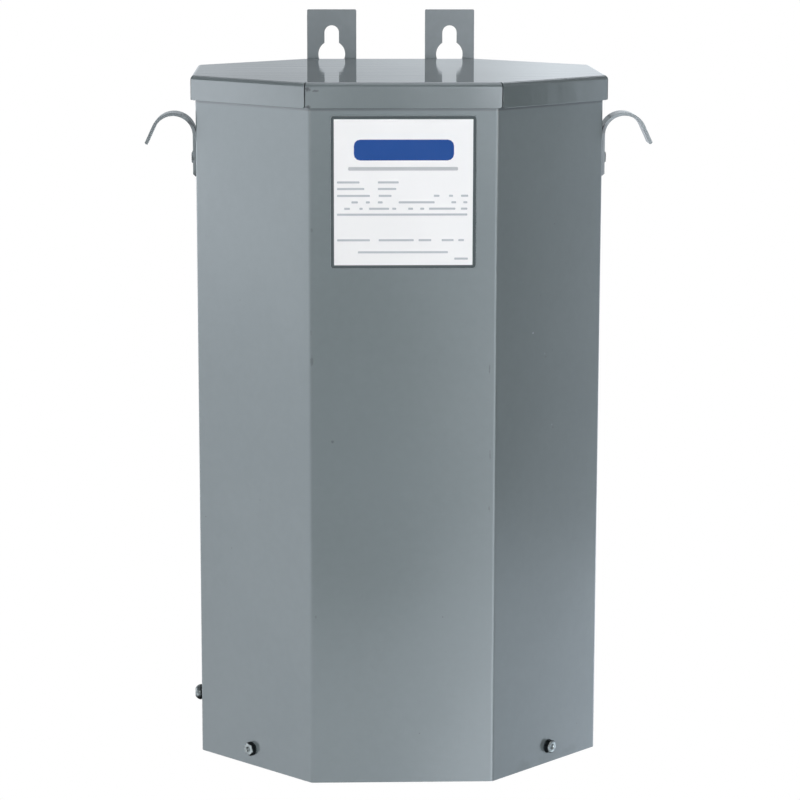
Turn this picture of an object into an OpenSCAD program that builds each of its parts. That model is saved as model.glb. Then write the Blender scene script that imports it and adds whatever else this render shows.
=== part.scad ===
// Wall-hung dry-type transformer in an eight-sided sheet-steel case.
// Millimetres. +Z up, front panel towards -Y, origin at the bottom centre of the overall box.

/* [Case] */
// Width of the case across its side panels
case_w = 264; // [200:1:340]
// Depth of the case from front panel to back panel
case_d = 256; // [200:1:320]
// Height of the case from its lower edge to its upper edge
case_h = 451; // [380:1:600]
// Width that each angled corner panel takes off the front
corner_x = 73.3; // [50:0.1:85]
// Depth that each angled corner panel takes off the side
corner_y = 73.3; // [50:0.1:85]
// Thickness of the case sheet
sheet_t = 1.5; // [1:0.1:2.5]
// Outer radius of the case's vertical bends
bend_r = 3; // [2.6:0.1:6]
// Width of the butt seam between the front and rear shells
seam_gap = 0.4; // [0.2:0.1:1]

/* [Lid] */
// Thickness of the lid sheet
lid_t = 1.5; // [1:0.1:2.5]
// Clearance between the skirt and the flat panels of the case
lid_gap = 1.5; // [0.5:0.1:3]
// Clearance between the skirt and the case's angled corner panels
lid_corner_gap = 2.7; // [0.3:0.1:4]
// Height of the lid from its top face to the lower edge of its skirt
skirt_h = 16; // [10:0.5:40]
// Outer radius of the bend between top plate and skirt
lid_bend_r = 3; // [2.6:0.1:6]
// Width of the open joint between neighbouring skirt flanges
skirt_joint = 0.8; // [0.3:0.1:2]
// Distance that the open joints run into the top plate
joint_relief = 0.4; // [0.2:0.1:0.8]
// Radius of the skirt flanges' lower corners
skirt_corner_r = 2.5; // [1:0.1:5]

/* [Bottom cover] */
// Thickness of the bottom cover sheet
cover_t = 1.5; // [1:0.1:2.5]
// Height of the cover's turned-up flange
cover_flange_h = 22; // [18:1:40]
// Clearance between the cover and the case
cover_gap = 0.3; // [0.2:0.1:1]
// Diameter of the inner conduit knockout
knockout_inner_d = 28.2; // [22:0.1:35]
// Diameter of the outer conduit knockout
knockout_outer_d = 34.9; // [30:0.1:50]
// Width of the score round a knockout
knockout_score_w = 0.6; // [0.3:0.1:1]
// Depth of the score round a knockout
knockout_score_t = 0.8; // [0.3:0.1:0.9]
// Distance between the knockouts across the cover
knockout_pitch_x = 110; // [60:1:130]
// Distance between the knockouts from front to back
knockout_pitch_y = 90; // [60:1:120]

/* [Potted core and coil] */
// Height of the wiring space under the potted block
wiring_h = 75; // [50:1:120]
// Clearance between the potted block and the case
block_gap = 0.3; // [0.2:0.1:1]
// Free height between the potted block and the lid
block_headroom = 6; // [2:1:20]

/* [Mounting straps] */
// Width of a mounting strap
strap_w = 35; // [26:1:50]
// Thickness of a mounting strap
strap_t = 3; // [2:0.1:5]
// Distance between the strap centres
strap_pitch = 84; // [60:1:110]
// Distance that the straps hold the case off the wall
strap_depth = 10; // [8:0.5:25]
// Height of the strap's lower end above the base
strap_foot_z = 12; // [0:1:60]
// Height that the strap's hanging tab stands above the lid
tab_rise = 34.5; // [32:0.5:60]
// Outer radius of the strap's long bends
strap_bend_r = 4.5; // [3.5:0.1:6]
// Radius of the hanging tab's upper corners
tab_corner_r = 1; // [0.5:0.1:4]
// Clearance between the strap's side flanges and the lid skirt above them
flange_gap = 4; // [1:0.5:10]

/* [Keyholes] */
// Diameter of the keyhole's head hole
keyhole_d = 19.05; // [15:0.05:24]
// Width of the keyhole's slot
keyslot_w = 10.3; // [7:0.1:13]
// Distance from the head hole's centre to the slot's upper end
keyslot_rise = 20.4; // [16:0.1:30]
// Distance from the tab's upper edge to the slot's upper end
keyslot_edge = 11.2; // [6:0.1:20]

/* [Lifting hooks] */
// Width of a hook strap
hook_w = 20; // [19:1:50]
// Thickness of a hook strap
hook_t = 2.1; // [2:0.1:5]
// Inner radius of the hook's bend
hook_r = 12.7; // [8:0.1:20]
// Angle that the hook's bend turns through
hook_sweep = 155; // [120:5:180]
// Straight length beyond the bend
hook_tip = 12.5; // [4:0.5:30]
// Distance from the lid skirt down to the hook's crown
hook_drop = 8.6; // [3:0.1:60]
// Length of the leg that lies on the case
hook_leg = 26.5; // [20:1:60]
// Distance from the side panel's front bend to the hook's front edge
hook_setback = 3; // [3:1:60]
// Bevel at the foot of the leg
hook_bevel = 1.5; // [0.5:0.1:1.9]
// Bevel at the hook's tip
hook_tip_bevel = 0.6; // [0.2:0.1:1.5]
// Diameter of a hook rivet's shank
rivet_d = 4.8; // [3:0.1:6]
// Diameter of a hook rivet's head
rivet_head_d = 7.6; // [6:0.1:10]
// Height of a hook rivet's head
rivet_head_t = 1; // [0.5:0.1:2]
// Clearance between a rivet and its holes, on the radius
rivet_clear = 0.1; // [0.05:0.05:0.3]
// Distance between the two rivets of a hook
rivet_pitch = 10.5; // [10:0.5:14]
// Height of the rivets above the hook's foot
rivet_rise = 12; // [8:0.5:20]

/* [Nameplate] */
// Width of the nameplate
plate_w = 91; // [60:0.5:110]
// Height of the nameplate
plate_h = 95.5; // [60:0.5:120]
// Thickness of the nameplate
plate_t = 0.6; // [0.3:0.1:1.5]
// Corner radius of the nameplate
plate_r = 2; // [1:0.1:6]
// Distance from the lid skirt down to the nameplate
plate_drop = 4.8; // [2:0.1:40]

/* [Screws] */
// Diameter of a base screw's shank
screw_d = 4.8; // [3:0.1:6]
// Distance across the flats of a base screw's head
screw_hex = 7.9; // [7:0.1:10]
// Height of a base screw's head
screw_head_h = 3.6; // [2:0.1:6]
// Length of a base screw below its head
screw_l = 12; // [8:0.5:20]
// Height of the base screws above the base
screw_z = 11.3; // [9:0.1:16]
// Distance of the base screws from the front or back panel, along the angled panel
screw_along = 55.8; // [40:0.1:60]
// Clearance between a screw's shank and its hole, on the radius
screw_clear = 0.2; // [0.1:0.05:0.5]
// Diameter of the ground screw's round head
ground_head_d = 10.4; // [8:0.1:14]
// Height of the ground screw's round head
ground_head_h = 4.2; // [3:0.1:5]
// Thickness of the ground screw's washer
ground_washer_t = 0.8; // [0.5:0.1:1.5]
// Height of the ground screw above the base
ground_z = 37; // [30:1:60]
// Distance of the ground screw from the side panel's front bend
ground_setback = 12; // [9:1:50]

/* [Hidden] */
$fn = 48;

// Lines that shapes are cut past, so that no cut ends on a face
over = 1;
// Facets in each vertical bend of the case
bend_steps = 6;
// Facets in a hook's bend
hook_steps = 24;
lid_off = lid_gap + lid_t;
case_y = (lid_off - strap_depth) / 2;
lid_w = case_w + 2 * lid_off;
lid_d = case_d + 2 * lid_off;
lid_cut = min(corner_x, corner_y) + 2 * lid_off - sqrt(2) * (lid_corner_gap + lid_t);
lid_z = case_h + lid_t;
skirt_z = lid_z - skirt_h;
facet_l = norm([corner_x, corner_y]);
facet_turn = atan2(-corner_x, corner_y);
cover_in = sheet_t + cover_gap;
tab_z = lid_z + tab_rise;
strap_back_y = case_d / 2 + strap_depth;
strap_front_y = strap_back_y - strap_t;
slot_top_z = tab_z - keyslot_edge;
keyhole_z = slot_top_z - keyslot_rise;
hook_bend_z = skirt_z - hook_drop - hook_t - hook_r;
hook_foot_z = hook_bend_z - hook_leg;
hook_front_y = corner_y - case_d / 2 + hook_setback;
hook_mid_y = hook_front_y + hook_w / 2;
rivet_z = hook_foot_z + rivet_rise;
plate_top_z = skirt_z - plate_drop;
ground_y = corner_y - case_d / 2 + ground_setback;

steel_grey = [0.50, 0.54, 0.56];
lid_grey = [0.55, 0.59, 0.61];
strap_grey = [0.46, 0.50, 0.52];
zinc = [0.72, 0.74, 0.74];
plate_white = [0.93, 0.94, 0.95];
resin_black = [0.13, 0.13, 0.14];

// Unit vector along a to b, and its inward normal on an outline that runs anticlockwise
function along(a, b) = (b - a) / norm(b - a);
function inward(a, b) = [-along(a, b).y, along(a, b).x];

// Rectangle with its four corners cut by angled sides, anticlockwise from the right front
function octagon(w, d, cut_x, cut_y) = [
    [w / 2, cut_y - d / 2], [w / 2, d / 2 - cut_y],
    [w / 2 - cut_x, d / 2], [cut_x - w / 2, d / 2],
    [-w / 2, d / 2 - cut_y], [-w / 2, cut_y - d / 2],
    [cut_x - w / 2, -d / 2], [w / 2 - cut_x, -d / 2],
];

// Outline with every side moved inward by t
function inset(points, t) = let (n = len(points)) [
    for (i = [0 : n - 1])
        let (
            before = inward(points[(i + n - 1) % n], points[i]),
            after = inward(points[i], points[(i + 1) % n])
        )
        points[i] + t * (before + after) / (1 + before * after)
];

// Outline with every corner rounded by radius r
function rounded(points, r) = let (n = len(points), centres = inset(points, r)) [
    for (i = [0 : n - 1])
        let (
            before = inward(points[(i + n - 1) % n], points[i]),
            after = inward(points[i], points[(i + 1) % n]),
            start = atan2(-before.y, -before.x),
            turn = acos(before * after)
        )
        for (k = [0 : bend_steps])
            let (a = start + turn * k / bend_steps)
            centres[i] + r * [cos(a), sin(a)]
];

// Rectangle standing on its lower edge, its lower and upper corners rounded where a radius is given
module rounded_rect(w, h, r_low, r_high) {
    translate([-w / 2, r_low]) square([w, h - r_low - r_high]);
    if (r_low > 0) {
        translate([r_low - w / 2, 0]) square([w - 2 * r_low, r_low]);
        for (side = [-1, 1]) translate([side * (w / 2 - r_low), r_low]) circle(r_low);
    }
    if (r_high > 0) {
        translate([r_high - w / 2, h - r_high]) square([w - 2 * r_high, r_high]);
        for (side = [-1, 1]) translate([side * (w / 2 - r_high), h - r_high]) circle(r_high);
    }
}

case_outline = octagon(case_w, case_d, corner_x, corner_y);
lid_outline = octagon(lid_w, lid_d, lid_cut, lid_cut);

// Puts the case's centre line where the overall box has its centre
module in_box() {
    translate([0, case_y, 0]) children();
}

// Carries a fastener drawn along +Z to an angled panel: right is 1 or -1, front is 1 or -1
module on_facet(right, front) {
    mirror([right < 0 ? 1 : 0, 0, 0])
        mirror([0, front < 0 ? 1 : 0, 0])
            translate([
                case_w / 2 - corner_x + corner_x * screw_along / facet_l,
                corner_y * screw_along / facet_l - case_d / 2,
                screw_z
            ])
                rotate([0, 0, facet_turn]) rotate([0, 90, 0]) children();
}

// Carries a fastener drawn along +Z to a side panel at y and z
module on_side(right, y, z) {
    mirror([right < 0 ? 1 : 0, 0, 0])
        translate([case_w / 2, y, z]) rotate([0, 90, 0]) children();
}

module case_wall() {
    linear_extrude(case_h) difference() {
        polygon(rounded(case_outline, bend_r));
        polygon(rounded(inset(case_outline, sheet_t), bend_r - sheet_t));
    }
}

// Clearance holes for every screw and rivet that passes the case sheet
module case_holes() {
    reach = sheet_t + over;
    for (right = [-1, 1]) {
        for (front = [-1, 1])
            on_facet(right, front) translate([0, 0, -reach])
                cylinder(r = screw_d / 2 + screw_clear, h = reach + over);
        for (rear = [-1, 1])
            on_side(right, hook_mid_y + rear * rivet_pitch / 2, rivet_z) translate([0, 0, -reach])
                cylinder(r = rivet_d / 2 + rivet_clear, h = reach + over);
    }
    on_side(-1, ground_y, ground_z) translate([0, 0, -reach])
        cylinder(r = screw_d / 2 + screw_clear, h = reach + over);
}

// One half of the case, in front of the side seams or behind them
module half_case(front) {
    difference() {
        case_wall();
        case_holes();
        translate([-case_w / 2 - over, front > 0 ? -seam_gap / 2 : -case_d / 2 - over, -over])
            cube([case_w + 2 * over, case_d / 2 + seam_gap / 2 + over, case_h + 2 * over]);
    }
}

module front_shell() {
    color(steel_grey) in_box() half_case(1);
}

module rear_shell() {
    color(steel_grey) in_box() half_case(-1);
}

// Section of a skirt flange, its bend and the plate's edge: x is outward from the bend line, y is up
module flange_section() {
    inner_r = lid_bend_r - lid_t;
    translate([-over, -lid_t]) square([over, lid_t]);
    translate([inner_r, -skirt_h]) square([lid_t, skirt_h - lid_bend_r]);
    intersection() {
        translate([0, -lid_bend_r]) difference() {
            circle(lid_bend_r);
            circle(inner_r);
        }
        translate([0, -lid_bend_r]) square(lid_bend_r + over);
    }
}

// One flange of the skirt along the lid's side from a to b, mitred towards the corners of the bend lines
module skirt_flange(a, b, bend_a, bend_b) {
    length = norm(b - a);
    dir = along(a, b);
    turn = atan2(dir.y, dir.x);
    edge = (bend_a + bend_b) / 2;
    mid = (a + b) / 2;
    end = dir * skirt_joint / 2;
    intersection() {
        translate([edge.x, edge.y, lid_z]) rotate([0, 0, turn - 90]) rotate([90, 0, 0])
            translate([0, 0, -length / 2]) linear_extrude(length) flange_section();
        translate([0, 0, skirt_z - over]) linear_extrude(skirt_h + 2 * over) polygon([
            2 * bend_a - a + end, 2 * bend_b - b - end, 2 * b - bend_b - end, 2 * a - bend_a + end,
        ]);
        translate([mid.x, mid.y, skirt_z]) rotate([0, 0, turn]) rotate([90, 0, 0])
            translate([0, 0, -lid_bend_r - over]) linear_extrude(lid_bend_r + 2 * over)
                rounded_rect(length, skirt_h + over, skirt_corner_r, 0);
    }
}

module lid() {
    bend = inset(lid_outline, lid_bend_r);
    color(lid_grey) in_box() {
        translate([0, 0, case_h]) linear_extrude(lid_t)
            polygon(inset(lid_outline, lid_bend_r + joint_relief));
        for (i = [0 : 7])
            skirt_flange(lid_outline[i], lid_outline[(i + 1) % 8], bend[i], bend[(i + 1) % 8]);
    }
}

// Ring scored into the underside of the cover
module knockout_score(d) {
    difference() {
        cylinder(d = d + knockout_score_w, h = 2 * knockout_score_t, center = true);
        cylinder(d = d - knockout_score_w, h = 2 * knockout_score_t + over, center = true);
    }
}

module bottom_cover() {
    outside = inset(case_outline, cover_in);
    inside = inset(case_outline, cover_in + cover_t);
    color(steel_grey) in_box() difference() {
        linear_extrude(cover_flange_h) polygon(rounded(outside, bend_r - sheet_t));
        translate([0, 0, cover_t]) linear_extrude(cover_flange_h) polygon(inside);
        for (right = [-1, 1]) for (front = [-1, 1]) {
            translate([right * knockout_pitch_x / 2, front * knockout_pitch_y / 2, 0]) {
                knockout_score(knockout_inner_d);
                knockout_score(knockout_outer_d);
            }
            on_facet(right, front) translate([0, 0, -cover_in - cover_t - over])
                cylinder(r = screw_d / 2 + screw_clear, h = cover_t + 2 * over);
        }
    }
}

module potted_block() {
    color(resin_black) in_box() translate([0, 0, wiring_h])
        linear_extrude(case_h - wiring_h - block_headroom)
            polygon(inset(case_outline, sheet_t + block_gap));
}

// Keyhole cut along Y: head hole below, slot above it
module keyhole() {
    rotate([90, 0, 0]) translate([0, 0, -over]) {
        translate([0, keyhole_z, 0]) cylinder(d = keyhole_d, h = strap_t + 2 * over);
        translate([0, slot_top_z - keyslot_w / 2, 0]) cylinder(d = keyslot_w, h = strap_t + 2 * over);
        translate([-keyslot_w / 2, keyhole_z, 0])
            cube([keyslot_w, keyslot_rise - keyslot_w / 2, strap_t + 2 * over]);
    }
}

// Section of the strap's channel: x across, y towards the wall
module channel_section() {
    inner_r = strap_bend_r - strap_t;
    difference() {
        union() {
            translate([-strap_w / 2, 0]) square([strap_w, strap_depth - strap_bend_r]);
            translate([strap_bend_r - strap_w / 2, 0]) square([strap_w - 2 * strap_bend_r, strap_depth]);
            for (side = [-1, 1])
                translate([side * (strap_w / 2 - strap_bend_r), strap_depth - strap_bend_r])
                    circle(strap_bend_r);
        }
        translate([strap_t - strap_w / 2, -over])
            square([strap_w - 2 * strap_t, strap_depth - strap_bend_r + over]);
        translate([strap_bend_r - strap_w / 2, -over])
            square([strap_w - 2 * strap_bend_r, strap_depth - strap_t + over]);
        for (side = [-1, 1])
            translate([side * (strap_w / 2 - strap_bend_r), strap_depth - strap_bend_r])
                circle(inner_r);
    }
}

// Channel on the back panel whose web runs up past the lid as a flat hanging tab
module mounting_strap(right) {
    channel_top = skirt_z - flange_gap;
    color(strap_grey) in_box() translate([right * strap_pitch / 2, 0, 0]) difference() {
        union() {
            translate([0, case_d / 2, strap_foot_z])
                linear_extrude(channel_top - strap_foot_z) channel_section();
            translate([0, strap_back_y, channel_top]) rotate([90, 0, 0])
                linear_extrude(strap_t) rounded_rect(strap_w, tab_z - channel_top, 0, tab_corner_r);
        }
        translate([0, strap_back_y, 0]) keyhole();
    }
}

module left_mounting_strap() {
    mounting_strap(-1);
}

module right_mounting_strap() {
    mounting_strap(1);
}

// Points on an arc of radius r from angle a to angle b
function arc(r, a, b) = [for (k = [0 : hook_steps]) let (t = a + (b - a) * k / hook_steps) r * [cos(t), sin(t)]];

// Hook strap seen edge on, round the bend's centre: leg on the left, tip on the right
module hook_profile() {
    outer_r = hook_r + hook_t;
    tip_turn = 180 - hook_sweep;
    across = [cos(tip_turn), sin(tip_turn)];
    down = [sin(tip_turn), -cos(tip_turn)];
    polygon(concat(
        [[-hook_r, hook_bevel - hook_leg], [-hook_r - hook_bevel, -hook_leg], [-outer_r, -hook_leg]],
        arc(outer_r, 180, tip_turn),
        [
            outer_r * across + (hook_tip - hook_tip_bevel) * down,
            (outer_r - hook_tip_bevel) * across + hook_tip * down,
            hook_r * across + hook_tip * down,
        ],
        arc(hook_r, tip_turn, 180)
    ));
}

// Flat strap on the side panel, bent outward and down into an open hook
module lifting_hook(right) {
    color(strap_grey) in_box() mirror([right < 0 ? 1 : 0, 0, 0]) difference() {
        translate([case_w / 2 + hook_t + hook_r, hook_front_y + hook_w, hook_bend_z])
            rotate([90, 0, 0]) linear_extrude(hook_w) hook_profile();
        for (rear = [-1, 1])
            translate([case_w / 2 - over, hook_mid_y + rear * rivet_pitch / 2, rivet_z])
                rotate([0, 90, 0]) cylinder(r = rivet_d / 2 + rivet_clear, h = hook_t + 2 * over);
    }
}

module left_lifting_hook() {
    lifting_hook(-1);
}

module right_lifting_hook() {
    lifting_hook(1);
}

// Flat-headed rivet through a hook's leg and the side panel
module hook_rivet(right, rear) {
    color(strap_grey) in_box() on_side(right, hook_mid_y + rear * rivet_pitch / 2, rivet_z) {
        translate([0, 0, -sheet_t]) cylinder(d = rivet_d, h = sheet_t + hook_t);
        translate([0, 0, hook_t])
            cylinder(d1 = rivet_head_d, d2 = rivet_head_d - rivet_head_t, h = rivet_head_t);
    }
}

module left_hook_front_rivet() {
    hook_rivet(-1, -1);
}

module left_hook_rear_rivet() {
    hook_rivet(-1, 1);
}

module right_hook_front_rivet() {
    hook_rivet(1, -1);
}

module right_hook_rear_rivet() {
    hook_rivet(1, 1);
}

module nameplate() {
    color(plate_white) in_box() translate([0, -case_d / 2, plate_top_z - plate_h])
        rotate([90, 0, 0]) linear_extrude(plate_t) rounded_rect(plate_w, plate_h, plate_r, plate_r);
}

// Hexagon head with a shallow dish, on a plain shank
module base_screw(right, front) {
    dish_d = screw_hex * 0.45;
    dish_t = screw_head_h * 0.3;
    color(zinc) in_box() on_facet(right, front) {
        translate([0, 0, -screw_l]) cylinder(d = screw_d, h = screw_l);
        difference() {
            cylinder(d = screw_hex / cos(30), h = screw_head_h, $fn = 6);
            translate([0, 0, screw_head_h - dish_t])
                cylinder(d1 = dish_d / 2, d2 = dish_d, h = dish_t);
        }
    }
}

module front_left_base_screw() {
    base_screw(-1, 1);
}

module front_right_base_screw() {
    base_screw(1, 1);
}

module rear_left_base_screw() {
    base_screw(-1, -1);
}

module rear_right_base_screw() {
    base_screw(1, -1);
}

// Round head on a plain shank, through the left side panel
module ground_screw() {
    dome_r = (pow(ground_head_d / 2, 2) + pow(ground_head_h, 2)) / (2 * ground_head_h);
    color(zinc) in_box() on_side(-1, ground_y, ground_z) {
        translate([0, 0, -screw_l]) cylinder(d = screw_d, h = screw_l + ground_washer_t);
        translate([0, 0, ground_washer_t]) intersection() {
            translate([0, 0, ground_head_h - dome_r]) sphere(dome_r);
            cylinder(r = dome_r, h = 2 * dome_r);
        }
    }
}

module ground_washer() {
    color(zinc) in_box() on_side(-1, ground_y, ground_z) difference() {
        cylinder(d = ground_head_d, h = ground_washer_t);
        translate([0, 0, -over])
            cylinder(r = screw_d / 2 + screw_clear, h = ground_washer_t + 2 * over);
    }
}

front_shell();
rear_shell();
lid();
bottom_cover();
potted_block();
left_mounting_strap();
right_mounting_strap();
left_lifting_hook();
right_lifting_hook();
left_hook_front_rivet();
left_hook_rear_rivet();
right_hook_front_rivet();
right_hook_rear_rivet();
nameplate();
front_left_base_screw();
front_right_base_screw();
rear_left_base_screw();
rear_right_base_screw();
ground_screw();
ground_washer();
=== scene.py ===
import math
import random

import bmesh
import bpy
from mathutils import Matrix, Vector


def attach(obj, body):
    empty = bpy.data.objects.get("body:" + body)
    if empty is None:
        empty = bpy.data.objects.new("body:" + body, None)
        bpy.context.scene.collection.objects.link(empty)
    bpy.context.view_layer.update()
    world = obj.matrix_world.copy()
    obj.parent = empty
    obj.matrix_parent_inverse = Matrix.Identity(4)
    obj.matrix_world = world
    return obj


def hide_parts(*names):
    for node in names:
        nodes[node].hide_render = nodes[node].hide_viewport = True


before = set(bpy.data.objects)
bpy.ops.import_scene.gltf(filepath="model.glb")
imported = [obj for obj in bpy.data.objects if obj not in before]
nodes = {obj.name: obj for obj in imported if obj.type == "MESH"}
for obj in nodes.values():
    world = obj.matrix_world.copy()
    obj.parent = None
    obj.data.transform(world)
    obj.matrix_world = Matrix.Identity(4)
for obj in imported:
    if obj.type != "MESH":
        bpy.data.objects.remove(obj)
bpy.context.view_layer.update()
MM = 0.001
for plain in list(bpy.data.materials):
    bpy.data.materials.remove(plain)

# The camera that took the photograph: its place in millimetres, and its turn from straight ahead, its tilt
# down and its roll in degrees
CAMERA_PLACE = (-61.32, -1859.09, 564.75)
CAMERA_TURN = 1.97
CAMERA_TILT = 10.25
CAMERA_ROLL = 0.11
FOCAL_PIXELS = 2773.86
PHOTO_PIXELS = 800
SENSOR_MM = 36.0

# The studio. Tints are red, green and blue, and the cards' also have an alpha
WORLD_GLOW = 0.12
CARD_TINT = (0.94, 1.0, 1.08, 1)
LID_TINT = (0.935, 1.005, 1.065, 1)
RIGHT_TINT = (0.89, 1.0, 1.13, 1)
COOL_TINT = (0.93, 1.0, 1.08)
WARM_TINT = (1.015, 1.0, 0.99)
NO_TINT = (1, 1, 1)
FLOOR_SIZE = 12
FLOOR_Z = -0.0004
# A ramp that is full all over a card
EVENLY = [("X", -9, -8)]
# Cards: middle, width, height and facing in metres, glows and tint
CARDS = {
    "front_card": ((0, -1.5, -0.3), 4, 1.8, (0, 1, 0), [
        (0.8, [("X", 0.03, 0.09)]),
        (3.7, [("X", 0.1, 0.18)]),
        (0.85, [("X", 0.0, -0.1)]),
        (0.6, [("Z", 0.3, 0.5)]),
        (2.2, [("Z", -0.18, -0.34)]),
        (1.1, [("X", 0.03, 0.09), ("Z", -0.18, -0.34)]),
        (1.3, [("X", 0.0, 0.16), ("Z", 0.3, 0.5)]),
    ], CARD_TINT),
    "right_card": ((1.5, 0.05, -0.3), 2.9, 1.8, (-1, 0, 0), [
        (1.85, [("Y", -0.02, 0.1)]),
        (1.5, [("Z", -0.1, -0.3)]),
        (0.5, [("Y", 0.02, 0.06), ("Z", -0.1, -0.3)]),
    ], RIGHT_TINT),
    "left_card": ((-1.5, 0.05, -0.3), 2.9, 1.8, (1, 0, 0), [
        (2.05, EVENLY),
        (0.75, [("Y", 0.06, 0.0)]),
        (2.2, [("Y", -0.22, 0.02), ("Z", 0.0, 0.25)]),
    ], CARD_TINT),
    "back_card": ((0, 3.2, 1.35), 7, 2.3, (0, -1, 0), [
        (0.38, EVENLY),
        (0.22, [("Z", 0.85, 0.45)]),
        (0.8, [("Z", 0.95, 1.3)]),
        (0.2, [("X", -0.2, 0.2)]),
        (0.28, [("X", 0.22, 0.42)]),
        (0.13, [("X", 0.1, -0.4)]),
    ], LID_TINT),
    "low_back_card": ((0, 2.6, -0.3), 5.6, 1.0, (0, -1, 0), [(0.9, EVENLY)], CARD_TINT),
    "front_upper_card": ((0, -1.5, 1.6), 4, 2.0, (0, 1, 0), [(0.45, EVENLY)], CARD_TINT),
    "right_upper_card": ((1.5, 0.05, 1.6), 2.9, 2.0, (-1, 0, 0), [(0.45, EVENLY)], CARD_TINT),
    "left_upper_card": ((-1.5, 0.05, 1.6), 2.9, 2.0, (1, 0, 0), [(0.45, EVENLY)], CARD_TINT),
    "ceiling_card": ((0, 0.6, 2.6), 5, 4, (0, 0, -1), [
        (1.5, EVENLY),
        (1.2, [("X", -0.3, 0.1)]),
    ], CARD_TINT),
}
# Lights: place, target, width and height in metres, watts, tint, and whether gloss shows them
LIGHTS = {
    "left_low_box": ((-1.45, -0.315, 0.313), (0, 0, 0.25), 0.88, 0.38, 1.3, COOL_TINT, False),
    "front_left_box": ((-0.7, -1.4, 0.5625), (0, 0, 0.3), 0.525, 0.35, 9.2, WARM_TINT, True),
    "front_box": ((0.0, -1.45, 0.5), (0, 0, 0.3), 0.5, 0.35, 0.8, COOL_TINT, True),
    "right_box": ((1.3, -0.9, 0.45), (0, 0, 0.3), 0.6, 0.4, 4.9, WARM_TINT, True),
    "top_box": ((0, -0.3, 2.4), (0, 0, 0.4), 1.6, 1.6, 2.0, NO_TINT, False),
    "below_box": ((0, -0.6, -1.6), (0, 0, 0), 2.4, 2.0, 12, NO_TINT, False),
    "rear_right_box": ((1.9, 2.0, 0.45), (0, 0, 0.25), 1.2, 0.8, 34, NO_TINT, False),
    "rear_left_box": ((-1.9, 2.0, 0.45), (0, 0, 0.25), 1.2, 0.8, 28, NO_TINT, False),
}

# The case, in the frame's millimetres, as the part's source has it
CASE_HALF_W = 132
CASE_BACK_Y = 124.5
SCREW_X, SCREW_FRONT_Y, SCREW_REAR_Y, SCREW_Z = 98.16, -92.04, 85.04, 11.3
GROUND_Y, GROUND_Z = -46.2, 37
STRAP_X, STRAP_HALF_W = 42, 17.5
PLATE_FRONT_Y = -132.1
PLATE_LOW_Z, PLATE_HIGH_Z = 336.2, 431.7
PLATE_HALF_W = 45.5

# Welds: heights of their lower ends, length, half thickness, distance from the corner, spacing of rows
WELD_HEIGHTS = (40, 150, 275, 395)
WELD_LENGTH, WELD_SIZE, WELD_PROUD, WELD_ROW = 24, 2.3, 0.6, 0.8
# Share of a weld's length over which each end rounds off, and the least reach of a row
WELD_TAPER, WELD_LEAST = 0.08, 0.25

# Lock washer: reach of its hole, teeth and gaps, twist of a tooth's two corners, thickness, gap behind
WASHER_HOLE, WASHER_TOOTH, WASHER_GAP = 2.6, 5.15, 4.1
WASHER_CORNERS = 48
TOOTH_TWIST = {0: 0.14, 1: -0.1}
WASHER_THICK, WASHER_PROUD = 0.5, 0.02
# Painted shade laid evenly over the washer, which lies in the screw head's shade
WASHER_PAINTED_SHADE = 0.55
HEX_HEAD_TURN = 17

# Edges of the CAD nodes: which points are one, what counts as flat, which edges are broken and how wide
MERGE_WITHIN_MM = 0.01
FLAT_WITHIN_DEGREES = 0.5
EDGE_FROM_DEGREES = 30
SHEET_EDGE, RESIN_EDGE, SMALL_EDGE = 0.3, 0.5, 0.1
# Points of the added pieces that are one
SAME_POINT_MM = 0.001

# The nameplate's print, in millimetres: border, its corners, margin, thickness, how deep it sits
BORDER_W, BORDER_CORNER, PRINT_MARGIN = 2.0, 1.9, 0.1
PRINT_THICK, PRINT_SUNK = 0.05, 0.01
HEADING_TALL, TITLE_TALL, ENTRY_TALL = 13, 2.2, 1.3
BAR_ROUNDING = 0.3
# Bars: a height and the runs, from left to right, that it has there
HEADING_BAND = ((410.5, ((-31, 31.5),)),)
TITLE_LINE = ((398.8, ((-34.5, 34),)),)
ENTRY_LINES = (
    (390.3, ((-41.5, -27.5), (-16, -3))),
    (386.2, ((-41.5, -24.5), (-16, -4.5))),
    (381.9, ((-41.5, -21), (-15.5, -7.5), (19, 22.5), (28.5, 31), (36, 40.5))),
    (377.8, ((-32.5, -28.5), (-23.5, -21), (-16, -13), (-3, 19.5), (30, 33), (37.5, 40))),
    (373.8, ((-37, -33.5), (-27.5, -25.5), (-21.5, -9), (-7, -4.5), (3, 6), (10.5, 13), (16, 32.5),
             (36, 40))),
    (370.1, ((-41.5, 40),)),
    (354.0, ((-41.5, -21), (-15.5, 6.5), (9.5, 17.5), (24, 31.5), (34.5, 38))),
    (346.4, ((-28.5, 28),)),
    (342.3, ((32, 40.5),)),
)

# Colours
CASE_LIGHT, CASE_DARK = (0.193, 0.232, 0.243, 1), (0.179, 0.216, 0.227, 1)
STRAP_LIGHT, STRAP_DARK = (0.235, 0.27, 0.283, 1), (0.2, 0.232, 0.245, 1)
PLATE_WHITE = (0.95, 0.955, 0.96, 1)
# Dark of the nameplate's border, which also stands in for painted shadow along the plate's edges
BORDER_AND_SHADOW_DARK = (0.062, 0.08, 0.084, 1)
HEADING_BLUE = (0.0, 0.06, 0.29, 1)
TITLE_GREY = (0.5, 0.52, 0.54, 1)
ENTRY_GREY = (0.5, 0.53, 0.57, 1)
ZINC_GREY = (0.17, 0.182, 0.176, 1)
# Painted shade on the screws' sides, collars, recesses and washer
ZINC_PAINTED_SHADE = (0.012, 0.015, 0.016, 1)
RESIN_BLACK = (0.018, 0.018, 0.02, 1)
RESIN_GRAIN = (0.12, 0.11, 0.1, 1)
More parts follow.
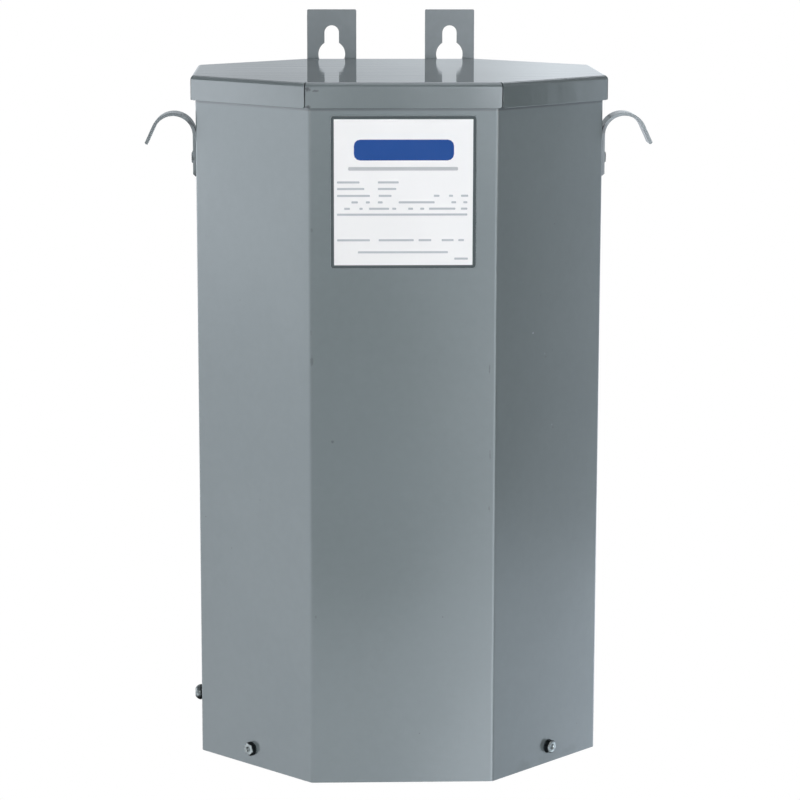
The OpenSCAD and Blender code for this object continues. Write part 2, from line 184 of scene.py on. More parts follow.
# Dark of paint chips and specks, also laid on as painted shade under the lid and at the hooks' roots
CHIP_AND_SHADE_DARK = (0.035, 0.04, 0.045, 1)
DUST_PALE = (0.6, 0.64, 0.66, 1)
SCUFF = (0.07, 0.09, 0.085, 1)

# Painted shadow under the lid's skirt: lower and upper height in millimetres, and strength
UNDER_LID_PAINTED_SHADOW = (434.2, 435.6, 0.5)
# Marks in the paint: middle in millimetres, half width, half height, strength and tone
CASE_MARKS = (
    ((-44.7, -131.5, 225.5), 1.2, 1.2, 0.45, CHIP_AND_SHADE_DARK),
    ((-57.6, -131.5, 277.3), 1.3, 3.8, 0.3, CHIP_AND_SHADE_DARK),
    ((-58.1, -131.5, 295.5), 0.7, 2.0, 0.15, CHIP_AND_SHADE_DARK),
    ((-57.4, -131.5, 360.5), 0.9, 1.6, 0.2, CHIP_AND_SHADE_DARK),
    ((-55.6, -131.5, 110.9), 0.8, 1.2, 0.2, CHIP_AND_SHADE_DARK),
    ((54.8, -131.5, 271.4), 0.6, 3.4, 0.3, CHIP_AND_SHADE_DARK),
    ((55.5, -131.5, 216.4), 0.7, 3.8, 0.2, CHIP_AND_SHADE_DARK),
    ((55.1, -131.5, 181.8), 0.8, 2.2, 0.2, CHIP_AND_SHADE_DARK),
    ((84.2, -106.0, 290.8), 0.8, 0.8, 0.4, DUST_PALE),
    ((92.6, -97.6, 276.0), 0.8, 0.8, 0.12, DUST_PALE),
    ((93.3, -96.9, 273.8), 1.0, 0.8, 0.15, CHIP_AND_SHADE_DARK),
    ((99.0, -91.2, 226.5), 1.0, 0.9, 0.15, CHIP_AND_SHADE_DARK),
    ((98.2, -92.0, 228.4), 0.8, 0.7, 0.15, DUST_PALE),
    ((-103.6, -86.6, 310.0), 1.1, 0.9, 0.1, CHIP_AND_SHADE_DARK),
    ((-91.5, -98.7, 180.7), 1.0, 1.0, 0.1, CHIP_AND_SHADE_DARK),
    ((80.3, -109.9, 1.5), 14.0, 6.5, 0.24, SCUFF),
    ((98.0, -92.2, 2.0), 13.0, 6.0, 0.16, SCUFF),
    ((113.0, -77.2, 2.5), 12.0, 5.0, 0.16, SCUFF),
)
# Painted shade where the hooks leave the case, and dark marks on the straps and hooks, in the same columns
STRAP_MARKS_AND_SHADE = (
    ((-133.8, -55.2, 422.3), 4.4, 4.2, 1.0, CHIP_AND_SHADE_DARK),
    ((-134.4, -53.8, 398.4), 2.4, 2.3, 0.95, CHIP_AND_SHADE_DARK),
    ((-133.4, -55.2, 387.0), 3.0, 3.6, 0.6, CHIP_AND_SHADE_DARK),
    ((133.4, -55.2, 418.0), 3.2, 4.6, 0.7, CHIP_AND_SHADE_DARK),
    ((-163.5, -55.2, 390.0), 3.5, 3.0, 0.4, CHIP_AND_SHADE_DARK),
)
LID_MARKS = (
    ((-54.7, -134.5, 447.3), 2.3, 0.8, 0.6, CHIP_AND_SHADE_DARK),
    ((-59.3, -134.5, 448.6), 2.2, 1.9, 0.85, CHIP_AND_SHADE_DARK),
    ((-59.4, -134.5, 437.2), 2.0, 1.5, 0.8, CHIP_AND_SHADE_DARK),
    ((-73.5, -38.5, 452.5), 1.2, 1.2, 0.12, CHIP_AND_SHADE_DARK),
    ((-104.7, 15.7, 452.5), 1.6, 1.2, 0.12, CHIP_AND_SHADE_DARK),
)


def make_camera():
    turn, tilt, roll = (math.radians(x) for x in (CAMERA_TURN, CAMERA_TILT, CAMERA_ROLL))
    ahead = Vector((math.sin(turn) * math.cos(tilt), math.cos(turn) * math.cos(tilt), -math.sin(tilt)))
    right = Vector((math.cos(turn), -math.sin(turn), 0))
    up = right.cross(ahead)
    across = math.cos(roll) * right + math.sin(roll) * up
    upward = math.cos(roll) * up - math.sin(roll) * right
    data = bpy.data.cameras.new("photo_camera")
    data.sensor_width = SENSOR_MM
    data.lens = SENSOR_MM * FOCAL_PIXELS / PHOTO_PIXELS
    data.clip_start, data.clip_end = 0.05, 60
    camera = bpy.data.objects.new("photo_camera", data)
    bpy.context.scene.collection.objects.link(camera)
    axes = Matrix((across, upward, -ahead)).transposed().to_4x4()
    camera.matrix_world = Matrix.Translation(Vector(CAMERA_PLACE) * MM) @ axes
    bpy.context.scene.camera = camera


def area_light(name, place, target, width, height, power, tint, in_gloss):
    """A soft box that the camera never sees."""
    data = bpy.data.lights.new(name, "AREA")
    data.shape = "RECTANGLE"
    data.size, data.size_y = width, height
    data.energy = power
    data.color = tint
    lamp = bpy.data.objects.new(name, data)
    lamp.location = place
    lamp.visible_camera, lamp.visible_glossy = False, in_gloss
    lamp.rotation_euler = (Vector(target) - Vector(place)).to_track_quat("-Z", "Y").to_euler()
    bpy.context.scene.collection.objects.link(lamp)


def stage_sheet(name, material, middle, width, height, facing):
    """A flat sheet of the studio, its middle and its facing given in metres."""
    shape = bmesh.new()
    bmesh.ops.create_grid(shape, x_segments=1, y_segments=1, size=0.5)
    bmesh.ops.scale(shape, verts=shape.verts, vec=(width, height, 1))
    axes = Vector(facing).to_track_quat("Z", "Y").to_matrix().to_4x4()
    bmesh.ops.transform(shape, verts=shape.verts, matrix=Matrix.Translation(middle) @ axes)
    mesh = bpy.data.meshes.new(name)
    shape.to_mesh(mesh)
    shape.free()
    mesh.materials.append(material)
    sheet = bpy.data.objects.new(name, mesh)
    bpy.context.scene.collection.objects.link(sheet)
    return sheet


def reflector(name, middle, width, height, facing, glows, tint):
    """A card that shows only in gloss.

    Each glow is a strength and its ramps: an axis, where the ramp starts and where it is full.
    """
    material = bpy.data.materials.new(name)
    material.use_nodes = True
    tree = material.node_tree
    tree.nodes.clear()
    lamp = tree.nodes.new("ShaderNodeEmission")
    lamp.inputs["Color"].default_value = tint
    tree.links.new(lamp.outputs[0], tree.nodes.new("ShaderNodeOutputMaterial").inputs[0])
    split = tree.nodes.new("ShaderNodeSeparateXYZ")
    tree.links.new(tree.nodes.new("ShaderNodeTexCoord").outputs["Object"], split.inputs[0])
    total = None
    for strength, ramps in glows:
        part = None
        for axis, start, end in ramps:
            ramp = tree.nodes.new("ShaderNodeMapRange")
            ramp.interpolation_type = "SMOOTHSTEP"
            ramp.inputs["From Min"].default_value = start
            ramp.inputs["From Max"].default_value = end
            ramp.inputs["To Max"].default_value = strength if part is None else 1.0
            tree.links.new(split.outputs[axis], ramp.inputs["Value"])
            shown = ramp.outputs["Result"]
            part = shown if part is None else joined(tree, "MULTIPLY", part, shown)
        total = part if total is None else joined(tree, "ADD", total, part)
    tree.links.new(total, lamp.inputs["Strength"])
    card = stage_sheet(name, material, middle, width, height, facing)
    card.visible_camera = card.visible_diffuse = card.visible_shadow = card.visible_transmission = False


def joined(tree, operation, first, second):
    """Two values put together by a Math node."""
    node = tree.nodes.new("ShaderNodeMath")
    node.operation = operation
    tree.links.new(first, node.inputs[0])
    tree.links.new(second, node.inputs[1])
    return node.outputs[0]


def white_for_the_camera(tree, plain, white):
    """Plain light or paper, which lights the object, and a pure white that only the camera sees."""
    rays = tree.nodes.new("ShaderNodeLightPath")
    choice = tree.nodes.new("ShaderNodeMixShader")
    tree.links.new(rays.outputs["Is Camera Ray"], choice.inputs[0])
    tree.links.new(plain.outputs[0], choice.inputs[1])
    tree.links.new(white.outputs[0], choice.inputs[2])
    return choice.outputs[0]


def studio_air():
    """Faint light from all round, white to the camera."""
    world = bpy.data.worlds.new("studio_air")
    bpy.context.scene.world = world
    world.use_nodes = True
    tree = world.node_tree
    tree.nodes.clear()
    dim = tree.nodes.new("ShaderNodeBackground")
    dim.inputs["Strength"].default_value = WORLD_GLOW
    white = tree.nodes.new("ShaderNodeBackground")
    white.inputs["Color"].default_value = (1, 1, 1, 1)
    output = tree.nodes.new("ShaderNodeOutputWorld")
    tree.links.new(white_for_the_camera(tree, dim, white), output.inputs[0])


def white_paper():
    """Matt paper, white to the camera and clear from below."""
    paper = bpy.data.materials.new("white_paper")
    paper.use_nodes = True
    tree = paper.node_tree
    tree.nodes.clear()
    plain = tree.nodes.new("ShaderNodeBsdfDiffuse")
    white = tree.nodes.new("ShaderNodeEmission")
    clear = tree.nodes.new("ShaderNodeBsdfTransparent")
    side = tree.nodes.new("ShaderNodeNewGeometry")
    below = tree.nodes.new("ShaderNodeMixShader")
    tree.links.new(side.outputs["Backfacing"], below.inputs[0])
    tree.links.new(white_for_the_camera(tree, plain, white), below.inputs[1])
    tree.links.new(clear.outputs[0], below.inputs[2])
    tree.links.new(below.outputs[0], tree.nodes.new("ShaderNodeOutputMaterial").inputs[0])
    return paper


def studio():
    """White surroundings, reflector cards and soft boxes."""
    bpy.context.scene.view_settings.view_transform = "Standard"
    studio_air()
    paper = white_paper()
    floor = stage_sheet("studio_floor", paper, (0, 0, FLOOR_Z), FLOOR_SIZE, FLOOR_SIZE, (0, 0, 1))
    floor.visible_glossy = False
    for name, card in CARDS.items():
        reflector(name, *card)
    for name, light in LIGHTS.items():
        area_light(name, *light)


# Material nodes

class Finish:
    """A material under construction: its nodes, its shader and its object coordinates."""

    def __init__(self, name, metallic=0.0, roughness=0.5, **sockets):
        self.material = bpy.data.materials.new(name)
        self.material.use_nodes = True
        self.tree = self.material.node_tree
        self.shader = self.tree.nodes["Principled BSDF"]
        self.shader.inputs["Metallic"].default_value = metallic
        self.shader.inputs["Roughness"].default_value = roughness
        for socket, value in sockets.items():
            self.shader.inputs[socket.replace("_", " ")].default_value = value
        self.place = self.tree.nodes.new("ShaderNodeTexCoord").outputs["Object"]

    def join(self, source, socket):
        if isinstance(source, bpy.types.NodeSocket):
            self.tree.links.new(source, socket)
        else:
            socket.default_value = source

    def stretched(self, scale, move=(0, 0, 0)):
        mapping = self.tree.nodes.new("ShaderNodeMapping")
        mapping.inputs["Scale"].default_value = scale
        mapping.inputs["Location"].default_value = move
        self.join(self.place, mapping.inputs["Vector"])
        return mapping.outputs["Vector"]

    def noise(self, scale, detail=2.0, rough=0.5, place=None, warp=0.0):
        texture = self.tree.nodes.new("ShaderNodeTexNoise")
        texture.inputs["Scale"].default_value = scale
        texture.inputs["Detail"].default_value = detail
        texture.inputs["Roughness"].default_value = rough
        texture.inputs["Distortion"].default_value = warp
        self.join(place or self.place, texture.inputs["Vector"])
        return texture.outputs["Fac"]

    def cells(self, scale):
        texture = self.tree.nodes.new("ShaderNodeTexVoronoi")
        texture.inputs["Scale"].default_value = scale
        self.join(self.place, texture.inputs["Vector"])
        return texture.outputs["Distance"]

    def spread(self, source, low, high, new_low=0.0, new_high=1.0):
        """Eases a value that runs from low to high into one that runs from new_low to new_high."""
        node = self.tree.nodes.new("ShaderNodeMapRange")
        node.interpolation_type = "SMOOTHSTEP"
        node.inputs["From Min"].default_value = low
        node.inputs["From Max"].default_value = high
        node.inputs["To Min"].default_value = new_low
        node.inputs["To Max"].default_value = new_high
        self.join(source, node.inputs["Value"])
        return node.outputs["Result"]

    def work(self, operation, first, second):
        node = self.tree.nodes.new("ShaderNodeMath")
        node.operation = operation
        self.join(first, node.inputs[0])
        self.join(second, node.inputs[1])
        return node.outputs["Value"]

    def blend(self, share, first, second):
        node = self.tree.nodes.new("ShaderNodeMix")
        node.data_type = "RGBA"
        self.join(share, node.inputs["Factor"])
        sockets = [s for s in node.inputs if s.type == "RGBA"]
        for source, socket in zip((first, second), sockets):
            self.join(source, socket)
        return next(s for s in node.outputs if s.type == "RGBA")

    def bumps(self, height, strength, depth_mm, under=None):
        node = self.tree.nodes.new("ShaderNodeBump")
        node.inputs["Strength"].default_value = strength
        node.inputs["Distance"].default_value = depth_mm * MM
        self.join(height, node.inputs["Height"])
        if under is not None:
            self.join(under, node.inputs["Normal"])
        return node.outputs["Normal"]

    def height(self):
        split = self.tree.nodes.new("ShaderNodeSeparateXYZ")
        self.join(self.place, split.inputs[0])
        return split.outputs["Z"]

    def away_from(self, place_mm, wide_mm, tall_mm):
        """Distance from a point, 1 at the rim of a spot that wide and that tall."""
        scale = (1000 / wide_mm, 1000 / wide_mm, 1000 / tall_mm)
        move = tuple(-c * MM * s for c, s in zip(place_mm, scale))
        moved = self.stretched(scale, move)
        node = self.tree.nodes.new("ShaderNodeVectorMath")
        node.operation = "LENGTH"
        self.join(moved, node.inputs[0])
        return node.outputs["Value"]


def enamel_on_steel(name, light, dark, roughness, waves=0.4, peel=0.05, marks=(), painted_shade=None, streaks=0):
    """Baked enamel on folded sheet: mottling, orange peel, slight waves, rare specks, given marks and a
    painted shadow band.
    """
    paint = Finish(name, roughness=roughness)
    cloud = paint.noise(9, detail=3, rough=0.55, warp=0.4)
    grain = paint.noise(160, detail=2, rough=0.6)
    share = paint.work("ADD", paint.work("MULTIPLY", cloud, 0.7), paint.work("MULTIPLY", grain, 0.3))
    colour = paint.blend(paint.spread(share, 0.3, 0.7), light, dark)
    speck = paint.spread(paint.cells(90), 0.045, 0.02)
    rare = paint.spread(paint.noise(24, detail=0, rough=0), 0.66, 0.7)
    specks = paint.work("MULTIPLY", paint.work("MULTIPLY", speck, rare), 0.5)
    colour = paint.blend(specks, colour, CHIP_AND_SHADE_DARK)
    for place, wide, tall, depth, tone in marks:
        edge = paint.spread(paint.noise(2200 / (wide + tall)), 0, 1, -0.5, 0.5)
        ragged = paint.work("ADD", paint.away_from(place, wide, tall), edge)
        colour = paint.blend(paint.spread(ragged, 1.1, 0.3, 0, depth), colour, tone)
    # Painted shadow: a dark band at the given heights, where the lid's skirt shades the case
    if painted_shade:
        low, high, depth = painted_shade
        height = paint.height()
        line = paint.work("MULTIPLY", paint.spread(height, low * MM, high * MM), depth)
        colour = paint.blend(line, colour, CHIP_AND_SHADE_DARK)
    paint.join(colour, paint.shader.inputs["Base Color"])
    uneven = paint.spread(cloud, 0.3, 0.7, roughness - 0.02, roughness + 0.02)
    paint.join(uneven, paint.shader.inputs["Roughness"])
    sheet = paint.bumps(paint.noise(7, detail=1, rough=0.4), waves, depth_mm=2.5)
    if streaks:
        brushed = paint.noise(1, detail=3, rough=0.6, place=paint.stretched((9, 110, 9)))
        sheet = paint.bumps(brushed, streaks, depth_mm=0.12, under=sheet)
    skin = paint.bumps(paint.noise(420, detail=2, rough=0.5), peel, depth_mm=0.4, under=sheet)
    paint.join(skin, paint.shader.inputs["Normal"])
    return paint.material


def zinc_plated(name, colour, roughness):
    """Zinc plate: cloudy colour, and painted shade on sides, collars and recesses wherever the piece's
    shade attribute says.
    """
    zinc = Finish(name, metallic=1.0, roughness=roughness)
    cloud = zinc.noise(500, detail=3, rough=0.6)
    dull = tuple(c * 0.7 for c in colour[:3]) + (1,)
    clean = zinc.blend(zinc.spread(cloud, 0.35, 0.75), colour, dull)
    # Painted shade, read from the piece's attribute, darkens the sides, collars and recesses
    shade_share = zinc.tree.nodes.new("ShaderNodeAttribute")
    shade_share.attribute_name = "painted_shade"
    ragged = zinc.work("ADD", shade_share.outputs["Fac"], zinc.spread(cloud, 0.2, 0.8, -0.12, 0.12))
    share = zinc.spread(ragged, 0.05, 0.95)
    zinc.join(zinc.blend(share, clean, ZINC_PAINTED_SHADE), zinc.shader.inputs["Base Color"])
    uneven = zinc.spread(cloud, 0.3, 0.7, roughness - 0.08, roughness + 0.08)
    rough = zinc.work("ADD", uneven, zinc.work("MULTIPLY", share, 0.15))
    zinc.join(rough, zinc.shader.inputs["Roughness"])
    tooth = zinc.bumps(zinc.noise(2500, detail=2, rough=0.6), strength=0.15, depth_mm=0.05)
    zinc.join(tooth, zinc.shader.inputs["Normal"])
    return zinc.material


def printed(name, colour, roughness, gloss=0.5):
    """Screen-printed ink or enamel: near-even colour with a faint cloud and a fine tooth."""
    ink = Finish(name, roughness=roughness, Specular_IOR_Level=gloss)
    cloud = ink.noise(40, detail=2, rough=0.5)
    faded = tuple(min(1, c * 1.02 + 0.004) for c in colour[:3]) + (1,)
    ink.join(ink.blend(ink.spread(cloud, 0.3, 0.7), colour, faded), ink.shader.inputs["Base Color"])
    uneven = ink.spread(cloud, 0.3, 0.7, roughness - 0.01, roughness + 0.02)
    ink.join(uneven, ink.shader.inputs["Roughness"])
    tooth = ink.bumps(ink.noise(900, detail=2, rough=0.5), strength=0.04, depth_mm=0.05)
    ink.join(tooth, ink.shader.inputs["Normal"])
    return ink.material


def cast_resin(name):
    """Sand-filled potting compound: black resin with pale grains and a pitted skin."""
    resin = Finish(name, roughness=0.55)
    grains = resin.work("MULTIPLY", resin.spread(resin.cells(700), 0.25, 0.15), 0.5)
    resin.join(resin.blend(grains, RESIN_BLACK, RESIN_GRAIN), resin.shader.inputs["Base Color"])
    pits = resin.bumps(resin.noise(300, detail=4, rough=0.6), strength=0.5, depth_mm=0.4)
    resin.join(pits, resin.shader.inputs["Normal"])
    return resin.material


def dress(names, material, edge_mm):
    """Gives CAD nodes their finish, smooth bends and softly broken edges."""
    for name in names:
        piece = nodes[name]
        piece.data.materials.clear()
        piece.data.materials.append(material)
        piece.data.polygons.foreach_set("use_smooth", [True] * len(piece.data.polygons))
        weld = piece.modifiers.new("joined", "WELD")
        weld.merge_threshold = MERGE_WITHIN_MM * MM
        flat = piece.modifiers.new("whole_faces", "DECIMATE")
        flat.decimate_type = "DISSOLVE"
        flat.angle_limit = math.radians(FLAT_WITHIN_DEGREES)
        edge = piece.modifiers.new("broken_edges", "BEVEL")
        edge.limit_method = "ANGLE"
        edge.angle_limit = math.radians(EDGE_FROM_DEGREES)
        edge.width = edge_mm * MM
        edge.segments = 2
        edge.harden_normals = True
        even = piece.modifiers.new("flat_panels", "WEIGHTED_NORMAL")
        even.weight = 100
        even.keep_sharp = True


def add_piece(name, shape, material, stands_for=(), sharp_degrees=32):
    """Makes a finished shape a piece that rides with the case."""
    bmesh.ops.remove_doubles(shape, verts=shape.verts, dist=SAME_POINT_MM * MM)
    bmesh.ops.recalc_face_normals(shape, faces=shape.faces)
    mesh = bpy.data.meshes.new(name)
    shape.to_mesh(mesh)
    shape.free()
    mesh.polygons.foreach_set("use_smooth", [True] * len(mesh.polygons))
    mesh.set_sharp_from_angle(angle=math.radians(sharp_degrees))
    mesh.materials.append(material)
    piece = bpy.data.objects.new(name, mesh)
    bpy.context.scene.collection.objects.link(piece)
    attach(piece, "root")
    if stands_for:
        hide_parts(*stands_for)


def gather(whole, part):
    """Adds one shape to another and frees it."""
    mesh = bpy.data.meshes.new("part")
    part.to_mesh(mesh)
    part.free()
    whole.from_mesh(mesh)
    bpy.data.meshes.remove(mesh)


# Outlines that a turned piece's rows can have, as a reach for each angle

def circle(angle):
    return 1.0


def hexagon(angle):
    return 1 / math.cos((angle + math.pi / 6) % (math.pi / 3) - math.pi / 6)


def cross(angle):
    """Four arms, about half as wide as they reach."""
    off = abs((angle + math.pi / 4) % (math.pi / 2) - math.pi / 4)
    return min(1 / math.cos(off), 0.26 / max(math.sin(off), 0.05))


# Rows of turned pieces: reach and height in millimetres, outline and share of painted shade
HEX_HEAD_ROWS = [
    (1.2, -12, circle, 0), (2.4, -10.6, circle, 0), (2.4, 0.02, circle, 1), (4.5, 0.02, circle, 1),
    (4.6, 0.3, circle, 0.8), (4.2, 0.55, circle, 1), (3.95, 0.6, hexagon, 0.9), (3.95, 2.9, hexagon, 0.85),
    (3.86, 3.3, hexagon, 0.6), (3.6, 3.55, circle, 0.1), (3.4, 3.62, circle, 0), (1.9, 3.58, circle, 0.05),
    (1.6, 3.4, circle, 0.35), (1.2, 3.1, circle, 0.6), (0.7, 3.0, circle, 0.5),
]
ROUND_HEAD_ROWS = [
    (1.4, -12, circle, 0), (2.4, -10.6, circle, 0), (2.4, 0.8, circle, 1), (5.15, 0.8, circle, 0.8),
    (5.2, 1.2, circle, 0.7), (5.0, 2.2, circle, 0.5), (4.5, 3.2, circle, 0.4), (3.7, 4.1, circle, 0.3),
    (2.9, 4.65, circle, 0.25), (2.45, 4.8, cross, 0.4), (2.2, 4.5, cross, 0.9), (1.5, 3.0, cross, 1),
    (0.8, 2.4, cross, 1),
]


def turned(rows, segments=36):
    """A closed solid built up ring by ring along Z, each ring carrying its share of painted shade."""
    shape = bmesh.new()
    painted_shade = shape.verts.layers.float.new("painted_shade")
    bmesh.ops.create_circle(shape, cap_ends=True, segments=segments, radius=1)
    ring = list(shape.edges)
    corners = list(shape.verts)
    for number, (reach, height, outline, shade_share) in enumerate(rows):
        if number:
            grown = bmesh.ops.extrude_edge_only(shape, edges=ring)["geom"]
            ring = [g for g in grown if isinstance(g, bmesh.types.BMEdge)]
            corners = [g for g in grown if isinstance(g, bmesh.types.BMVert)]
        for corner in corners:
            angle = math.atan2(corner.co.y, corner.co.x)
            out = reach * outline(angle) * MM
            corner.co = (out * math.cos(angle), out * math.sin(angle), height * MM)
            corner[painted_shade] = shade_share
    bmesh.ops.contextual_create(shape, geom=ring)
    return shape


def stood_on(x, y, z, degrees):
    """Carries local +Z to the outward normal at that turn from +X, and local +Y up."""
    turn = math.radians(degrees)
    outward = Vector((math.cos(turn), math.sin(turn), 0))
    up = Vector((0, 0, 1))
    side = up.cross(outward)
    axes = Matrix((side, up, outward)).transposed().to_4x4()
    return Matrix.Translation(Vector((x, y, z)) * MM) @ axes


def hex_screw(name, x, y, z, degrees, stands_for):
    """Indented hexagon head with a thin collar, its top corners chamfered, on a plain shank."""
    shape = turned(HEX_HEAD_ROWS)
    turn = Matrix.Rotation(math.radians(HEX_HEAD_TURN), 3, "Z")
    bmesh.ops.rotate(shape, verts=shape.verts, matrix=turn)
    bmesh.ops.transform(shape, verts=shape.verts, matrix=stood_on(x, y, z, degrees))
    add_piece(name, shape, zinc_bright, [stands_for], sharp_degrees=25)


def ground_screw(name, x, y, z, degrees, stands_for):
    """Round head with a cross recess."""
    shape = turned(ROUND_HEAD_ROWS, segments=64)
    bmesh.ops.transform(shape, verts=shape.verts, matrix=stood_on(x, y, z, degrees))
    add_piece(name, shape, zinc_bright, [stands_for], sharp_degrees=40)


def tooth_washer(name, x, y, z, degrees, stands_for):
    """Lock washer with twisted outer teeth."""
    shape = bmesh.new()
    painted_shade = shape.verts.layers.float.new("painted_shade")
    bmesh.ops.create_circle(shape, cap_ends=False, segments=WASHER_CORNERS, radius=WASHER_HOLE * MM)
    grown = bmesh.ops.extrude_edge_only(shape, edges=list(shape.edges))["geom"]
    corners = [g for g in grown if isinstance(g, bmesh.types.BMVert)]
    for corner in corners:
        flat = corner.co.normalized()
        number = round(math.degrees(math.atan2(flat.y, flat.x)) * WASHER_CORNERS / 360) % 4
        reach = WASHER_TOOTH if number in TOOTH_TWIST else WASHER_GAP
        corner.co = flat * reach * MM + Vector((0, 0, TOOTH_TWIST.get(number, 0) * MM))
    shape.normal_update()
    bmesh.ops.solidify(shape, geom=list(shape.faces), thickness=WASHER_THICK * MM)
    # Painted shade, even over the whole washer
    for corner in shape.verts:
        corner[painted_shade] = WASHER_PAINTED_SHADE
    low = min(v.co.z for v in shape.verts)
    bmesh.ops.translate(shape, verts=shape.verts, vec=(0, 0, WASHER_PROUD * MM - low))
    bmesh.ops.transform(shape, verts=shape.verts, matrix=stood_on(x, y, z, degrees))
    add_piece(name, shape, zinc_bright, [stands_for])


def weld_bead(seed):
    """A short run of weld standing along Z, rippled and rounded off at its ends."""
    draw = random.Random(seed)
    rows = []
    count = int(WELD_LENGTH / WELD_ROW)
    for number in range(count + 1):
        along = number / count
        from_end = min(along, 1 - along)
        end = math.sin(math.pi * from_end / (2 * WELD_TAPER)) if from_end < WELD_TAPER else 1
        ripple = 1 + 0.09 * math.sin(number * 2.1) + draw.uniform(-0.03, 0.03)
        rows.append((max(WELD_LEAST, WELD_SIZE * end * ripple), along * WELD_LENGTH, circle, 0))
    return turned(rows, segments=14)


def strap_welds(side, name):
    """Runs of weld between a strap's flanges and the back panel."""
    whole = bmesh.new()
    for number, height in enumerate(WELD_HEIGHTS):
        for edge in (-1, 1):
            bead = weld_bead(number * 2 + edge)
            across = side * STRAP_X + edge * (STRAP_HALF_W + WELD_PROUD)
            place = Vector((across, CASE_BACK_Y + WELD_PROUD, height)) * MM
            bmesh.ops.translate(bead, verts=bead.verts, vec=place)
            gather(whole, bead)
    add_piece(name, whole, strap_paint, sharp_degrees=60)


def nameplate_border_and_shadow():
    """The dark enamelled border round the nameplate's white field, also standing in as painted shadow
    along the plate's edges.
    """
    shape = bmesh.new()
    bmesh.ops.create_grid(shape, x_segments=1, y_segments=1, size=0.5)
    wide = 2 * PLATE_HALF_W - PRINT_MARGIN
    tall = PLATE_HIGH_Z - PLATE_LOW_Z - PRINT_MARGIN
    bmesh.ops.scale(shape, verts=shape.verts, vec=(wide * MM, tall * MM, 1))
    round_off(shape, BORDER_CORNER, 5)
    bmesh.ops.inset_region(shape, faces=list(shape.faces), thickness=BORDER_W * MM,
                           use_even_offset=True, use_boundary=True)
    middle = min(shape.faces, key=lambda f: f.calc_center_median().length)
    bmesh.ops.delete(shape, geom=[middle], context="FACES_ONLY")
    bmesh.ops.solidify(shape, geom=list(shape.faces), thickness=PRINT_THICK * MM)
    stand_on_plate(shape)
    bmesh.ops.translate(shape, verts=shape.verts, vec=(0, 0, (PLATE_LOW_Z + PLATE_HIGH_Z) / 2 * MM))
    add_piece("nameplate_border_and_shadow", shape, border_and_shadow_ink)


def round_off(shape, corner_mm, segments):
    """Rounds the corners of a flat shape."""
    bmesh.ops.bevel(shape, geom=shape.verts, offset=corner_mm * MM, affect="VERTICES",
                    segments=segments, profile=0.5, material=-1)


def stand_on_plate(shape):
    """Turns a flat print upright and lays it just proud of the nameplate."""
    bmesh.ops.transform(shape, verts=shape.verts, matrix=Matrix.Rotation(math.radians(90), 4, "X"))
    back = max(v.co.y for v in shape.verts)
    bmesh.ops.translate(shape, verts=shape.verts, vec=(0, (PLATE_FRONT_Y + PRINT_SUNK) * MM - back, 0))


def printed_bars(name, ink, bars, tall):
    """Plain rounded bars on the nameplate."""
    whole = bmesh.new()
    for height, runs in bars:
        for start, end in runs:
            bar = bmesh.new()
            bmesh.ops.create_grid(bar, x_segments=1, y_segments=1, size=0.5)
            bmesh.ops.scale(bar, verts=bar.verts, vec=((end - start) * MM, tall * MM, 1))
            round_off(bar, min(tall, end - start) * BAR_ROUNDING, 3)
            bmesh.ops.solidify(bar, geom=list(bar.faces), thickness=PRINT_THICK * MM)
            stand_on_plate(bar)
            bmesh.ops.translate(bar, verts=bar.verts, vec=((start + end) / 2 * MM, 0, height * MM))
            gather(whole, bar)
    add_piece(name, whole, ink)


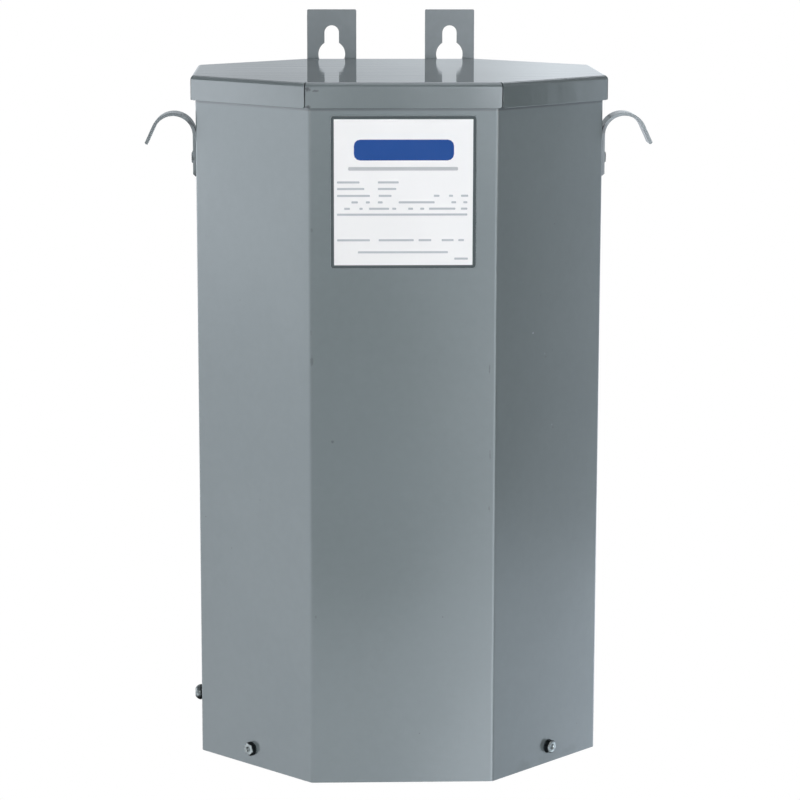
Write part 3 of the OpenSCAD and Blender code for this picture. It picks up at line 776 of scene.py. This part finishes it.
make_camera()
studio()
case_paint = enamel_on_steel("case_paint", CASE_LIGHT, CASE_DARK, 0.2,
                             marks=CASE_MARKS, painted_shade=UNDER_LID_PAINTED_SHADOW)
lid_paint = enamel_on_steel("lid_paint", CASE_LIGHT, CASE_DARK, 0.05,
                            waves=0.1, peel=0.01, marks=LID_MARKS, streaks=0.7)
strap_paint = enamel_on_steel("strap_paint", STRAP_LIGHT, STRAP_DARK, 0.2,
                              waves=0.15, peel=0.006, marks=STRAP_MARKS_AND_SHADE)
resin = cast_resin("potting_resin")
plate_enamel = printed("nameplate_enamel", PLATE_WHITE, 0.3, gloss=0.8)
border_and_shadow_ink = printed("nameplate_border_ink", BORDER_AND_SHADOW_DARK, 0.4, gloss=0.2)
heading_ink = printed("nameplate_heading_ink", HEADING_BLUE, 0.4, gloss=0.2)
title_ink = printed("nameplate_title_ink", TITLE_GREY, 0.4)
entry_ink = printed("nameplate_entry_ink", ENTRY_GREY, 0.4)
zinc_bright = zinc_plated("zinc_plate", ZINC_GREY, 0.3)

dress(["front_shell", "rear_shell", "bottom_cover"], case_paint, SHEET_EDGE)
dress(["lid"], lid_paint, SHEET_EDGE)
dress([n for n in nodes if "strap" in n or "hook" in n], strap_paint, SHEET_EDGE)
dress(["potted_block"], resin, RESIN_EDGE)
dress(["nameplate"], plate_enamel, SMALL_EDGE)
dress([n for n in nodes if "screw" in n or "washer" in n], zinc_bright, SMALL_EDGE)

for row, y, y_sign in (("front", SCREW_FRONT_Y, -1), ("rear", SCREW_REAR_Y, 1)):
    for side, x_sign in (("left", -1), ("right", 1)):
        degrees = math.degrees(math.atan2(y_sign, x_sign))
        corner = f"{row}_{side}"
        hex_screw(f"{corner}_hex_screw", x_sign * SCREW_X, y, SCREW_Z, degrees, f"{corner}_base_screw")
ground_screw("ground_cross_screw", -CASE_HALF_W, GROUND_Y, GROUND_Z, 180, "ground_screw")
tooth_washer("ground_tooth_washer", -CASE_HALF_W, GROUND_Y, GROUND_Z, 180, "ground_washer")
strap_welds(-1, "left_strap_welds")
strap_welds(1, "right_strap_welds")
nameplate_border_and_shadow()
printed_bars("nameplate_heading_band", heading_ink, HEADING_BAND, HEADING_TALL)
printed_bars("nameplate_title_line", title_ink, TITLE_LINE, TITLE_TALL)
printed_bars("nameplate_entry_lines", entry_ink, ENTRY_LINES, ENTRY_TALL)
